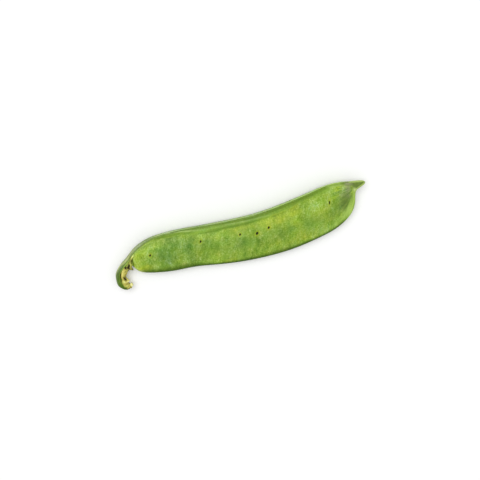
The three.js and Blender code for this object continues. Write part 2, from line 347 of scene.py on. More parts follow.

# Tinted patches: fresh green, warm tan, purple grey, dark olive, and painted highlights.
FRESH_PATCHES = [
    (14.0, -5.4, 4.8, 2.4, 0.4),
    (24.0, 3.0, 4.0, 5.0, 0.3),
    (24.5, -8.0, 2.6, 2.2, 0.3),
    (34.5, -0.5, 2.5, 4.0, 0.3),
    (44.5, -3.0, 3.0, 2.8, 0.5),
    (54.0, -11.0, 5.0, 2.4, 0.35),
    (58.8, -6.2, 3.8, 3.0, 0.6),
    (62.0, 1.0, 3.0, 1.6, 0.25),
    (66.0, 1.2, 2.4, 1.4, 0.35),
    (73.0, -14.8, 4.0, 2.4, 0.45),
    (78.0, -1.0, 3.0, 1.6, 0.35),
    (84.5, -13.8, 3.0, 2.4, 0.3),
    (88.0, -9.0, 5.0, 2.0, 0.35),
    (104.6, -2.4, 1.6, 2.6, 0.4),
]
TAN_PATCHES = [
    (9.8, 3.0, 2.0, 4.0, 0.35),
    (17.5, 4.6, 1.6, 1.8, 0.5),
    (38.8, 2.2, 1.7, 2.6, 0.45),
    (60.4, 0.4, 4.2, 1.5, 0.5),
    (71.5, -1.8, 4.6, 1.8, 0.38),
    (96.3, -6.2, 1.8, 1.9, 0.65),
    (99.6, -3.2, 1.6, 2.2, 0.45),
    (100.5, -10.5, 1.8, 1.8, 0.35),
]
PURPLE_PATCHES = [
    (109.2, -0.8, 2.6, 2.2, 0.5),
    (109.4, 3.1, 1.5, 0.5, 0.4),
    (110.8, -3.0, 1.2, 2.2, 0.28),
    (111.4, 2.7, 1.4, 0.6, 0.9),
    (111.5, 0.6, 1.4, 1.6, 0.7),
    (113.2, 1.9, 1.5, 0.9, 0.8),
]
OLIVE_PATCHES = [
    (106.2, -6.0, 2.5, 3.6, 0.7),
    (107.4, -8.6, 1.4, 1.8, 0.5),
    (108.8, -4.0, 1.9, 3.2, 0.9),
    (110.6, -2.4, 1.0, 1.8, 0.6),
    (113.4, 1.5, 1.0, 0.9, 0.6),
]
# Painted highlights: a spot near the beak and a line by the neck's lobe.
HIGHLIGHT_PATCHES = [
    (114.2, -1.3, 0.65, 0.8, 1.0),
    (9.75, 3.4, 0.28, 1.8, 0.5),
]

# Painted shade in the slit where the neck's lobe ends.
SLIT_SHADE_PATCHES = [
    (8.95, 5.9, 0.3, 0.7, 0.9),
    (8.8, 4.9, 0.32, 0.7, 1.0),
    (8.65, 3.6, 0.32, 0.8, 1.0),
    (8.5, 2.3, 0.32, 0.7, 0.8),
]

# How much wider the seam's lines are counted than they are, along the pod. They narrow where it is over 1.
SEAM_WIDENING_X = [8, 16, 20, 25, 28, 31, 34, 39, 46, 60, 80, 98, 112]
SEAM_WIDENING = [1.0, 1.25, 1.45, 1.45, 1.2, 1.25, 1.35, 0.98, 0.88, 0.9, 0.92, 0.82, 0.8]

# Where the seam's lines end and the face begins, at places along the pod.
FACE_FROM_X = [62, 74, 90, 112]
FACE_FROM = [4.1, 3.6, 3.1, 2.4]

# A light line that wavers along the seam's band: its distance round the section, and its strength.
CREST_X = [15, 20, 26, 29, 32, 36, 40, 44, 48, 54, 60, 66, 72, 76]
CREST_AT = [0.9, 1.0, 1.1, 1.3, 1.6, 2.35, 2.6, 2.6, 2.4, 2.8, 2.9, 3.1, 3.4, 3.6]
CREST_STRENGTH = [0, 0.25, 0.2, 0.8, 1.0, 1.0, 0.6, 0.2, 0.15, 0.3, 0.4, 0.5, 0.3, 0]

# The pale rib of the back edge near the tip, paler still with a painted highlight: how far it reaches from
# the edge, and how strong it is.
RIB_X = [98, 103, 107.5, 111, 113, 114.5]
RIB_REACH = [3.2, 3.9, 4.7, 4.6, 3.0, 0.8]
RIB_STRENGTH = [0, 0.5, 0.95, 0.75, 0.75, 0.8]

# How far painted shade reaches in from the back edge.
SHADE_X = [12, 20, 30, 38, 44, 52, 60, 72, 84, 92, 104, 112]
SHADE_REACH = [2.0, 2.15, 2.5, 1.7, 1.1, 1.4, 1.75, 2.0, 1.5, 1.2, 1.0, 1.3]

# Along the neck: how strong its light rim is, how far from the seam it lies, and the painted shadow beside
# the calyx.
NECK_STATIONS = [8.0, 9.3, 12.0, 13.5, 15.5, 18.0, 20.0, 23.0]
NECK_RIM = [0.4, 0.7, 1.0, 1.0, 1.0, 1.0, 0.8, 0]
RIM_AT = [0, 0, 0.1, 0.3, 1.1, 1.4, 0.9, 0.9]
CALYX_SHADOW = [0.5, 1.0, 1.0, 0.5, 0.45, 0.45, 0, 0]

# Zones along the pod, as (where they start, where they are full).
FAR_ZONE = (66, 82)
TIP_ZONE = (101, 107)
BEAK_ZONE = (112.0, 114.0)
INNER_BEAK_ZONE = (113.2, 114.4)

# Stations where foot, hook and neck begin to end, and end. The foot's skin gets painted shadow, the hook's
# painted shade on a darker green.
FOOT_END = (5.2, 7.5)
HOOK_END = (9, 13)
NECK_END = (22, 40)

# Shares of the half thickness from which marks of the upper side show.
UPPER_SIDE = (0.0, 0.3)

# Light: a soft key from beyond the seam edge, and an even white surrounding.
KEY_FROM = Vector((-0.15, 0.45, 1.0))
KEY_STRENGTH = 1.7
KEY_SPREAD = math.radians(50)
SURROUND_STRENGTH = 0.62
FLOOR_HALF_IN_METRES = 3.0

# The camera stands over the pod, leaning towards its seam edge, and is rolled until the beak points up.
LENS = 85
SENSOR = 36
TARGET = Vector((-1.498, -1.464, 4.003)) * MM
DISTANCE = 515.93 * MM
LEAN = math.radians(18.5)
ROLL = math.radians(21.0)


def clamp(value, low, high):
    return np.minimum(np.maximum(value, low), high)


def lerp(first, second, share):
    return first + (second - first) * share


def smoothstep(value, start, end):
    share = clamp((value - start) / (end - start), 0, 1)
    return share * share * (3 - 2 * share)


def between(value, rise, fall):
    """Goes from 0 to 1 over the stretch rise, and back over the stretch fall."""
    return smoothstep(value, *rise) * (1 - smoothstep(value, *fall))


def bump(distance, half):
    return np.exp(-((distance / half) ** 2))


def raised_lines(lines, distance):
    return sum(rise * bump(distance - at, half) for at, rise, half in lines)


def patches(places, x, y):
    """Sums soft oval patches, each given as x, y, half length, half width and strength."""
    return sum(much * np.exp(-(((x - at_x) / long) ** 2) - ((y - at_y) / wide) ** 2)
               for at_x, at_y, long, wide, much in places)


def noise(points, period, seed):
    """Smooth random values from -1 to 1 at points, changing over the period."""
    place = np.asarray(points) / period
    corner = np.floor(place).astype(np.int64)
    part = place - corner
    part = part * part * (3 - 2 * part)
    table = np.random.default_rng(seed).uniform(-1, 1, 4096)
    total = 0
    for step in np.ndindex(2, 2, 2):
        x, y, z = np.moveaxis(corner + step, -1, 0)
        value = table[(x * 73856093 ^ y * 19349663 ^ z * 83492791) % len(table)]
        total = total + value * np.prod(np.where(step, part, 1 - part), axis=-1)
    return total


def spline(places, values, at):
    """A natural cubic spline through values at rising places, read at other places."""
    places = np.asarray(places, float)
    values = np.asarray(values, float)
    spans = np.diff(places)
    count = len(places)
    system = np.eye(count)
    turns = np.zeros(count)
    for i in range(1, count - 1):
        system[i, i - 1:i + 2] = spans[i - 1], 2 * (spans[i - 1] + spans[i]), spans[i]
        turns[i] = 6 * ((values[i + 1] - values[i]) / spans[i] - (values[i] - values[i - 1]) / spans[i - 1])
    bend = np.linalg.solve(system, turns)
    i = clamp(np.searchsorted(places, at) - 1, 0, count - 2)
    b = (at - places[i]) / spans[i]
    a = 1 - b
    curved = ((a ** 3 - a) * bend[i] + (b ** 3 - b) * bend[i + 1]) * spans[i] ** 2 / 6
    return a * values[i] + b * values[i + 1] + curved


# Stations are distances along the line midway between the two edges.
OUTLINE = np.array(STALK_OUTLINE + NECK_OUTLINE + BODY_OUTLINE + BEAK_OUTLINE)
MIDDLES = (OUTLINE[:, :2] + OUTLINE[:, 2:]) / 2
STATIONS = np.concatenate([[0], np.cumsum(np.linalg.norm(np.diff(MIDDLES, axis=0), axis=1))])


def station_of_row(row):
    return spline(np.arange(len(OUTLINE)), STATIONS, np.asarray(row, float))


def plain_half(x, from_seam, width):
    """Half the thickness at a distance from the seam edge, before the edges are rounded."""
    share = clamp(from_seam / width, 0, 1)
    seam_half = np.minimum(np.minimum(width / 2, NECK_HALF + HALF_PER_WIDTH * width), SEAM_HALF)
    back_half = lerp(seam_half, KEEL["half"], smoothstep(width, KEEL["from_width"], KEEL["full_width"]))
    wedge = lerp(seam_half, back_half, smoothstep(share, 0, 1))
    swell = BELLY["swell"] * smoothstep(width, BELLY["from_width"], BELLY["full_width"])
    belly = swell * np.sin(np.pi * share ** BELLY["skew"]).clip(0) ** BELLY["power"]
    seed_places = [SEEDS["first"] + n * SEEDS["pitch"] for n in range(SEEDS["count"])]
    seeds = sum(bump(x - place, SEEDS["half_long"]) for place in seed_places)
    seeds = seeds * SEEDS["rise"] * bump((share - SEEDS["from_seam"]) * width, SEEDS["half_wide"])
    thinning = 1 - TIP_THINNING["share"] * smoothstep(x, TIP_THINNING["from"], TIP_THINNING["to"])
    return thinning * (wedge + belly + seeds)


def places_across(width):
    """Places from the seam to the back edge: distance from the seam edge, and share of the half thickness."""
    seam_depth = np.minimum(SEAM_DEPTH, MOST_DEPTH_PER_WIDTH * width)
    back_depth = np.minimum(BACK_DEPTH, MOST_DEPTH_PER_WIDTH * width)
    wideness = smoothstep(width, SQUARENESS["from_width"], SQUARENESS["full_width"])
    power = 2 / lerp(SQUARENESS["narrow"], SQUARENESS["wide"], wideness)
    seam_turn = np.linspace(0, np.pi / 2, SEAM_STEPS + 1)
    back_turn = np.linspace(0, np.pi / 2, BACK_STEPS + 1)
    even = np.linspace(0, 1, FACE_STEPS + 1)[1:-1]
    face = lerp(even, (1 - np.cos(np.pi * even)) / 2, FACE_CROWDING)
    seam_from = seam_depth * (1 - np.cos(seam_turn).clip(0) ** power)
    face_from = lerp(seam_depth, width - back_depth, face)
    back_from = width - back_depth * (1 - np.sin(back_turn))
    seam_share = np.sin(seam_turn) ** power
    back_share = np.cos(back_turn).clip(0) * np.ones_like(width)
    back_share[:, -1] = 0
    from_seam = np.concatenate([seam_from, face_from, back_from], axis=1)
    return from_seam, np.concatenate([seam_share, np.ones_like(face_from), back_share], axis=1)


def lay(x, y, height):
    """A point of the flat plane at a height over it, bowed and turned as the pod lies."""
    along = (x - MIDDLE_X) / MIDDLE_X
    droop = HOOK_DROOP * (1 - smoothstep(x, 0, HOOK_DROOP_LENGTH))
    z = height + PITCH * (x - MIDDLE_X) + BOW * along ** 2 - droop
    lean = TILT + TWIST * along
    return np.stack([x, y * np.cos(lean) - z * np.sin(lean), y * np.sin(lean) + z * np.cos(lean)], axis=-1)


def rings(station):
    """Whole sections at the stations, from the seam over the upper side to the back edge, and back below."""
    station = np.asarray(station, float)
    seam_x, seam_y, back_x, back_y = (spline(STATIONS, OUTLINE[:, i], station)[:, None] for i in range(4))
    width = np.hypot(seam_x - back_x, seam_y - back_y)
    from_seam, share = places_across(width)
    along = lerp(seam_x, back_x, from_seam / width)
    plain = np.stack([from_seam, share * plain_half(along, from_seam, width)], axis=-1)
    mirrored = plain * (1, -1)
    wrapped = np.concatenate([mirrored[:, 1:2], plain, mirrored[:, -2:-1]], axis=1)
    ahead = wrapped[:, 2:] - wrapped[:, :-2]
    ahead /= np.linalg.norm(ahead, axis=-1, keepdims=True)
    outward = np.stack([-ahead[..., 1], ahead[..., 0]], axis=-1)
    around = np.cumsum(np.linalg.norm(np.diff(plain, axis=1), axis=-1), axis=1)
    around = np.concatenate([np.zeros_like(width), around], axis=1)
    seam_scale = plain_half(seam_x, 0 * width, width) / SEAM_HALF
    back_scale = smoothstep(width, BACK_LINES_FROM_WIDTH, BACK_LINES_FULL_WIDTH)
    rise = seam_scale * raised_lines(SEAM_LINES, around / seam_scale)
    rise = rise + back_scale * raised_lines(BACK_LINES, width - from_seam)
    upper = plain + outward * rise[..., None]

    def whole(values, sign=1):
        return np.concatenate([values, sign * values[:, -2:0:-1]], axis=1)

    inward = whole(upper[..., 0]) / width
    x = lerp(seam_x, back_x, inward)
    y = lerp(seam_y, back_y, inward)
    return {
        "points": lay(x, y, whole(upper[..., 1], -1)),
        "x": x,
        "y": y,
        "side": whole(share, -1),
        "band": whole(around / seam_scale),
        "around": whole(around),
        "from_back": whole(width - from_seam),
        "width": width * np.ones_like(x),
        "station": station[:, None] * np.ones_like(x),
    }


def ring_stations(start, end):
    """Stations from start to end, closer together where the pod is narrow."""
    places = [start]
    while places[-1] < end:
        corners = [float(spline(STATIONS, OUTLINE[:, i], places[-1])) for i in range(4)]
        width = math.hypot(corners[0] - corners[2], corners[1] - corners[3])
        step = clamp(RING_STEP["per_width"] * width, RING_STEP["least"], RING_STEP["most"])
        places.append(places[-1] + step)
    places = np.array(places)
    return start + (places - start) * (end - start) / (places[-1] - start)


def skin_points(station, distance):
    """Points of the skin: for each station, those at its distances round the section from the seam."""
    loops = rings(station)["points"]
    loops = np.concatenate([loops, loops[:, :1]], axis=1)
    found = []
    for loop, wanted in zip(loops, distance):
        reach = np.concatenate([[0], np.cumsum(np.linalg.norm(np.diff(loop, axis=0), axis=1))])
        found.append(np.stack([np.interp(wanted, reach, loop[:, axis]) for axis in range(3)], axis=-1))
    return np.array(found)


def round_length(station):
    loops = rings(station)["points"]
    return np.linalg.norm(loops - np.roll(loops, -1, axis=1), axis=-1).sum(axis=1)


def skin_normals(station, distance):
    ahead = skin_points(station + NORMAL_REACH, distance) - skin_points(station - NORMAL_REACH, distance)
    further = skin_points(station, distance + NORMAL_REACH) - skin_points(station, distance - NORMAL_REACH)
    return unit(np.cross(further, ahead))


def unit(vectors):
    return vectors / np.maximum(np.linalg.norm(vectors, axis=-1, keepdims=True), 1e-9)


def grid_normals(points):
    """Normals of rings of points."""
    ahead = np.gradient(points, axis=0)
    further = np.roll(points, -1, axis=1) - np.roll(points, 1, axis=1)
    return unit(np.cross(further, ahead))


def frame_shift():
    """The move from the outline's own millimetres to the frame's, read from the pod's box."""
    low, high = (np.array(corner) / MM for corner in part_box("pod"))
    points = rings(ring_stations(NECK_START, STATIONS[-1]))["points"].reshape(-1, 3)
    middle = (points.min(axis=0) + points.max(axis=0)) / 2
    shift = (low + high) / 2 - middle
    shift[2] = high[2] - points[:, 2].max()
    return shift


def mesh_object(name, points, faces, values, material, node):
    """Makes a smooth mesh in the frame from points in millimetres, with named values at its points."""
    points = points + SHIFT
    points[:, 2] = np.maximum(points[:, 2], 0)
    mesh = bpy.data.meshes.new(name)
    mesh.from_pydata((points * MM).tolist(), [], faces)
    mesh.polygons.foreach_set("use_smooth", [True] * len(mesh.polygons))
    for key, value in values.items():
        if value.ndim == 2:
            mesh.attributes.new(key, "FLOAT_VECTOR", "POINT").data.foreach_set("vector", value.ravel())
        else:
            mesh.attributes.new(key, "FLOAT", "POINT").data.foreach_set("value", value)
    mesh.materials.append(material)
    mesh.validate()
    piece = bpy.data.objects.new(name, mesh)
    bpy.context.scene.collection.objects.link(piece)
    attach(piece, "root")
    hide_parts(node)


def tube_faces(rows, columns):
    """Quads over closed rings, with a fan to a middle point at each end. The two middle points come last."""
    faces = []
    last = (rows - 1) * columns
    start_hub = rows * columns
    for i in range(columns):
        j = (i + 1) % columns
        faces += [(start_hub, j, i), (start_hub + 1, last + i, last + j)]
        faces += [(s + i, s + j, s + columns + j, s + columns + i) for s in range(0, last, columns)]
    return faces


def with_hubs(grid):
    """Flattens a grid of values over rings, and adds the mean of its first and last ring."""
    flat = grid.reshape(-1, *grid.shape[2:])
    return np.concatenate([flat, grid[:1].mean(axis=1), grid[-1:].mean(axis=1)])


def sheet_faces(rows, columns):
    """Quads of a closed sheet: an outer grid, an inner grid after it, and the rim between them."""
    faces = []
    under = rows * columns
    rim = []
    for row in range(rows - 1):
        for column in range(columns - 1):
            a = row * columns + column
            d = a + columns
            faces.append((a, a + 1, d + 1, d))
            faces.append((under + a, under + d, under + d + 1, under + a + 1))
        rim.append(((row + 1) * columns, row * columns))
        rim.append(((row + 1) * columns - 1, (row + 2) * columns - 1))
    for column in range(columns - 1):
        rim.append((column, column + 1))
        rim.append(((rows - 1) * columns + column + 1, (rows - 1) * columns + column))
    return faces + [(b, a, under + a, under + b) for a, b in rim]


class Shader:
    """The nodes of one material. Each method returns the output socket of the node that it adds."""

    def __init__(self, name):
        self.material = bpy.data.materials.new(name)
        self.material.use_nodes = True
        self.tree = self.material.node_tree
        self.surface = self.tree.nodes["Principled BSDF"]

    def join(self, value, socket):
        if isinstance(value, bpy.types.NodeSocket):
            self.tree.links.new(value, socket)
        else:
            socket.default_value = value

    def attribute(self, name, output="Fac"):
        node = self.tree.nodes.new("ShaderNodeAttribute")
        node.attribute_name = name
        return node.outputs[output]

    def place(self):
        """Object coordinates in millimetres."""
        node = self.tree.nodes.new("ShaderNodeTexCoord")
        return self.stretched(node.outputs["Object"], (1 / MM, 1 / MM, 1 / MM))

    def stretched(self, vector, factors):
        node = self.tree.nodes.new("ShaderNodeVectorMath")
        node.operation = "MULTIPLY"
        self.join(vector, node.inputs[0])
        node.inputs[1].default_value = factors
        return node.outputs[0]

    def math(self, operation, *values):
        node = self.tree.nodes.new("ShaderNodeMath")
        node.operation = operation
        for value, socket in zip(values, node.inputs):
            self.join(value, socket)
        return node.outputs[0]

    def add(self, *values):
        total = values[0]
        for value in values[1:]:
            total = self.math("ADD", total, value)
        return total

    def times(self, first, second):
        return self.math("MULTIPLY", first, second)

    def fade(self, value, start, end, low=0.0, high=1.0):
        """Goes smoothly from low to high while the value goes from start to end."""
        node = self.tree.nodes.new("ShaderNodeMapRange")
        node.interpolation_type = "SMOOTHSTEP"
        self.join(value, node.inputs["Value"])
        for socket, number in zip(node.inputs[1:5], (start, end, low, high)):
            socket.default_value = number
        return node.outputs[0]

    def noise(self, vector, period, detail=2.0, roughness=0.5):
        """Noise from about -1 to 1 that changes over a period."""
        node = self.tree.nodes.new("ShaderNodeTexNoise")
        self.join(vector, node.inputs["Vector"])
        node.inputs["Scale"].default_value = 1 / period
        node.inputs["Detail"].default_value = detail
        node.inputs["Roughness"].default_value = roughness
        return self.math("MULTIPLY_ADD", node.outputs["Fac"], 4.0, -2.0)

    def ramp(self, value, stops):
        """Colours at rising places of a value, each stop as (place, (r, g, b))."""
        first, last = stops[0][0], stops[-1][0]
        share = self.math("DIVIDE", self.math("SUBTRACT", value, float(first)), float(last - first))
        node = self.tree.nodes.new("ShaderNodeValToRGB")
        elements = node.color_ramp.elements
        while len(elements) < len(stops):
            elements.new(0.5)
        for element, (at, colour) in zip(elements, stops):
            element.position = (at - first) / (last - first)
            element.color = (*colour, 1)
        self.join(share, node.inputs["Fac"])
        return node.outputs["Color"]

    def mix(self, amount, first, second, blend="MIX"):
        node = self.tree.nodes.new("ShaderNodeMix")
        node.data_type = "RGBA"
        node.blend_type = blend
        self.join(amount, node.inputs["Factor"])
        for value, socket in ((first, node.inputs[6]), (second, node.inputs[7])):
            self.join(value if isinstance(value, bpy.types.NodeSocket) else (*value, 1), socket)
        return node.outputs[2]

    def relief(self, height, strength, depth):
        """A bump of the surface's normal by a height from -1 to 1, as deep as depth in millimetres."""
        node = self.tree.nodes.new("ShaderNodeBump")
        node.inputs["Strength"].default_value = strength
        node.inputs["Distance"].default_value = depth * MM
        self.join(height, node.inputs["Height"])
        return node.outputs["Normal"]

    def finish(self, colour, roughness, normal, gloss):
        self.join(colour, self.surface.inputs["Base Color"])
        self.join(roughness, self.surface.inputs["Roughness"])
        self.join(normal, self.surface.inputs["Normal"])
        self.surface.inputs["Specular IOR Level"].default_value = gloss
        return self.material


# Colours are linear red, green and blue. Shifts, shades and the next four lists multiply other colours.
YELLOW_SHIFT = (1.16, 1.02, 0.62)
BLUE_SHIFT = (0.84, 0.97, 2.1)
# Painted shade over the hook, which is also a darker green, and painted shadow over the foot.
HOOK_SHADE = (0.55, 0.68, 0.32)
FOOT_SHADE = (0.68, 0.76, 0.2)
# Painted shade along the back edge.
BACK_SHADE = (0.25, 0.32, 0.04)
PINHOLE_SHADE = (1.0, 1.0, 0.15)
GRAIN_TONES = [
    (-1.2, (0.67, 0.73, 0.6)),
    (0.0, (1.0, 1.0, 1.0)),
    (1.2, (1.38, 1.3, 1.6)),
]
SPECK_TONES = [
    (-1.2, (0.68, 0.74, 0.05)),
    (0.0, (1.0, 1.0, 1.0)),
    (1.2, (1.34, 1.28, 2.5)),
]
VEIN_TONES = [
    (-0.4, (1.0, 1.0, 0.1)),
    (0.0, (1.0, 1.0, 1.0)),
    (0.4, (1.0, 1.0, 2.4)),
]
WARMTH_TONES = [
    (-1.2, (0.89, 1.015, 1.0)),
    (0.0, (1.0, 1.0, 1.0)),
    (1.2, (1.11, 0.985, 1.0)),
]

# Names of values, their colours, and the least share of them that shows where the skin is least worn.
TINTS = [
    ("fresh", (0.17, 0.34, 0.03), 0.3),
    ("crest", (0.35, 0.49, 0.13), 0.7),
    ("tan", (0.33, 0.42, 0.05), 0.2),
    ("olive", (0.125, 0.2, 0.028), 0.6),
    ("purple", (0.22, 0.255, 0.105), 0.5),
    ("pale", (0.325, 0.49, 0.085), 0.8),
    ("rim", (0.42, 0.48, 0.17), 0.75),
    # Painted shadow beside the calyx.
    ("calyx_shadow", (0.065, 0.06, 0.008), 0.8),
    # Painted shade in the slit.
    ("slit_shade", (0.05, 0.065, 0.003), 1.0),
    # Painted highlights.
    ("painted_highlight", (0.6, 0.74, 0.26), 0.9),
]
FLECKS = (0.4, 0.55, 0.085)
PINHOLE_RING = (0.4, 0.47, 0.06)
PINHOLE_DARK = (0.01, 0.013, 0.0)

# Colours round the section from the seam: along the neck, and along the near and the far part of the body.
# The body's palest first stops are the seam's pale lip with a painted highlight on it.
NECK_TONES = [
    (0.0, (0.2, 0.25, 0.1)),
    (0.6, (0.125, 0.18, 0.045)),
    (1.2, (0.29, 0.36, 0.15)),
    (1.8, (0.13, 0.19, 0.05)),
    (2.4, (0.25, 0.32, 0.12)),
    (3.0, (0.105, 0.17, 0.025)),
    (3.5, (0.16, 0.255, 0.035)),
    (3.9, (0.29, 0.44, 0.06)),
]
BAND_TONES = [
    (0.0, (0.36, 0.49, 0.18)),
    (0.4, (0.36, 0.49, 0.18)),
    (0.7, (0.17, 0.285, 0.035)),
    (1.2, (0.135, 0.235, 0.02)),
    (2.2, (0.135, 0.235, 0.02)),
    (2.9, (0.17, 0.3, 0.03)),
    (3.4, (0.155, 0.275, 0.016)),
    (4.6, (0.175, 0.31, 0.016)),
]
FAR_TONES = [
    (0.0, (0.39, 0.55, 0.16)),
    (0.3, (0.39, 0.55, 0.16)),
    (0.65, (0.17, 0.285, 0.03)),
    (1.1, (0.125, 0.223, 0.01)),
    (2.2, (0.125, 0.223, 0.01)),
    (2.9, (0.19, 0.32, 0.02)),
    (4.2, (0.24, 0.375, 0.022)),
]

# Colours of the face, from dark to pale.
FACE_TONES = [
    (-0.5, (0.045, 0.11, 0.018)),
    (0.0, (0.105, 0.225, 0.024)),
    (0.25, (0.158, 0.285, 0.028)),
    (0.5, (0.218, 0.362, 0.033)),
    (0.75, (0.29, 0.44, 0.04)),
    (1.0, (0.385, 0.525, 0.05)),
]


def skin_material():
    """Waxy green skin: clouds, slanted veins, lines along the seam, tinted and pale places, painted shade and
    highlights, and pinholes.
    """
    shader = Shader("green_skin")
    place = shader.place()
    grain = shader.attribute("grain", "Vector")

    bars = shader.noise(shader.stretched(grain, (0.3, 0.11, 1.0)), 1.0, 2.0)
    rays = shader.noise(shader.stretched(grain, (1.3, 0.14, 1.0)), 1.0, 2.0)
    fan = shader.noise(shader.attribute("fan", "Vector"), 1.0, 3.0, 0.6)
    veins = shader.noise(shader.stretched(grain, (0.85, 0.2, 1.0)), 1.0, 4.0, 0.65)
    fine_veins = shader.noise(shader.stretched(grain, (2.2, 0.65, 1.0)), 1.0, 3.0, 0.65)
    speckle = shader.noise(place, 0.6, 4.0, 0.75)
    mottle = shader.noise(place, 2.1, 4.0, 0.6)
    blotches = shader.noise(place, 5.5, 2.0)
    streaky = shader.fade(shader.noise(place, 9.0, 1.0), -0.5, 0.5, 0.6, 1.5)
    veining = shader.add(
        shader.times(bars, 0.24),
        shader.times(shader.times(veins, streaky), 0.18),
        shader.times(shader.times(fine_veins, streaky), 0.19),
        shader.times(mottle, 0.13),
    )
    texture = shader.add(veining, shader.times(blotches, 0.16))
    tone = shader.add(
        shader.attribute("tone"),
        shader.times(texture, shader.fade(shader.attribute("far"), 0.0, 1.0, 1.15, 0.8)),
        shader.times(speckle, 0.35),
        shader.times(rays, shader.attribute("rays")),
        shader.times(fan, shader.attribute("streaked")),
    )
    hue = shader.add(
        shader.attribute("hue"),
        shader.times(shader.noise(shader.stretched(grain, (0.5, 0.25, 1.0)), 1.0, 3.0, 0.6), 0.22),
        shader.times(shader.noise(place, 3.0, 2.0), 0.2),
    )
    colour = shader.ramp(tone, FACE_TONES)
    flecks = shader.times(shader.fade(fine_veins, 0.4, 1.2), shader.fade(mottle, -0.4, 0.8, 0.1, 0.6))
    colour = shader.mix(flecks, colour, FLECKS)
    milky = shader.add(veining, shader.times(speckle, 0.15))
    colour = shader.mix(1.0, colour, shader.ramp(milky, VEIN_TONES), "MULTIPLY")

    waver = shader.times(shader.noise(place, 2.5), 0.12)
    seam = shader.add(shader.attribute("seam"), waver)
    band = shader.mix(shader.attribute("far"), shader.ramp(seam, BAND_TONES), shader.ramp(seam, FAR_TONES))
    band = shader.mix(shader.attribute("neck"), band, shader.ramp(seam, NECK_TONES))
    grainy = shader.add(
        shader.times(speckle, 0.28),
        shader.times(shader.noise(place, 0.35, 2.0), 0.4),
        shader.times(veins, 0.4),
        shader.attribute("fibres"),
    )
    band = shader.mix(1.0, band, shader.ramp(grainy, GRAIN_TONES), "MULTIPLY")
    colour = shader.mix(shader.attribute("face"), band, colour)
    colour = shader.mix(1.0, colour, shader.ramp(speckle, SPECK_TONES), "MULTIPLY")
    warmth = shader.noise(place, 4.0, 3.0)
    colour = shader.mix(1.0, colour, shader.ramp(warmth, WARMTH_TONES), "MULTIPLY")
    colour = shader.mix(shader.fade(hue, 0.0, 1.0), colour, YELLOW_SHIFT, "MULTIPLY")
    colour = shader.mix(shader.fade(hue, 0.0, -1.0), colour, BLUE_SHIFT, "MULTIPLY")
    # Painted shade over the hook, on a darker green, and painted shadow over the foot.
    colour = shader.mix(shader.attribute("hook"), colour, HOOK_SHADE, "MULTIPLY")
    colour = shader.mix(shader.attribute("foot"), colour, FOOT_SHADE, "MULTIPLY")

    worn = shader.ramp(shader.add(shader.times(veins, 0.4), fan, shader.times(speckle, 0.6)), GRAIN_TONES)
    wear = shader.add(shader.times(mottle, 0.5), shader.times(veins, 0.4), shader.times(fan, 0.8))
    for name, tint, least in TINTS:
        strength = shader.times(shader.attribute(name), shader.fade(wear, -0.6, 0.4, least, 1.0))
        colour = shader.mix(strength, colour, shader.mix(1.0, worn, tint, "MULTIPLY"))
    # Painted shade along the back edge, and a darker inside of the beak.
    colour = shader.mix(shader.attribute("shade"), colour, BACK_SHADE, "MULTIPLY")

    pin = shader.attribute("pinhole")
    colour = shader.mix(shader.fade(pin, 1.2, 3.8, 0.35, 0.0), colour, PINHOLE_RING)
    colour = shader.mix(shader.fade(pin, 1.0, 2.8, 0.75, 0.0), colour, PINHOLE_SHADE, "MULTIPLY")
    colour = shader.mix(shader.fade(pin, 0.8, 1.5, 1.0, 0.0), colour, PINHOLE_DARK)

    rough = shader.fade(shader.noise(place, 1.2, 3.0), -1.0, 1.0, 0.42, 0.58)
    relief = shader.add(
        shader.times(fine_veins, 0.6),
        shader.times(speckle, 0.4),
        shader.noise(place, 0.25, 2.0),
    )
    return shader.finish(colour, rough, shader.relief(relief, 0.4, 0.035), 0.22)


DRY_TONES = [
    (0.0, (0.02, 0.014, 0.004)),
    (0.25, (0.12, 0.1, 0.02)),
    (0.45, (0.3, 0.28, 0.06)),
    (0.65, (0.49, 0.44, 0.09)),
    (0.85, (0.64, 0.58, 0.15)),
    (1.0, (0.8, 0.76, 0.27)),
    (1.2, (0.95, 0.94, 0.44)),
]
GREEN_SHADE = (0.72, 1.0, 0.75)


def dry_material(name):
    """Dry plant matter: pale sheet with fibres along it, brown specks, and darker or greener places, the
    darkest on the calyx being painted shade.
    """
    shader = Shader(name)
    place = shader.place()
    grain = shader.attribute("grain", "Vector")
    fibres = shader.noise(shader.stretched(grain, (0.35, 2.8, 1.0)), 1.0, 3.0, 0.6)
    speckle = shader.noise(place, 0.5, 3.0, 0.7)
    tone = shader.add(
        shader.attribute("tone"),
        shader.times(fibres, 0.16),
        shader.times(speckle, 0.24),
    )
    colour = shader.ramp(tone, DRY_TONES)
    colour = shader.mix(shader.attribute("green"), colour, GREEN_SHADE, "MULTIPLY")
    rough = shader.fade(speckle, -1.0, 1.0, 0.7, 0.9)
    relief = shader.add(fibres, shader.times(shader.noise(place, 0.2, 2.0), 0.5))
    return shader.finish(colour, rough, shader.relief(relief, 0.5, 0.06), 0.15)


def pinhole_distance(x, y):
    """How far the nearest pinhole is, as a share of its half width or half length."""
    slanted = x - VEIN_LEAN * y
    return np.min([np.hypot((slanted - at_x + VEIN_LEAN * at_y) / wide, (y - at_y) / long)
                   for at_x, at_y, wide, long in PINHOLES], axis=0)


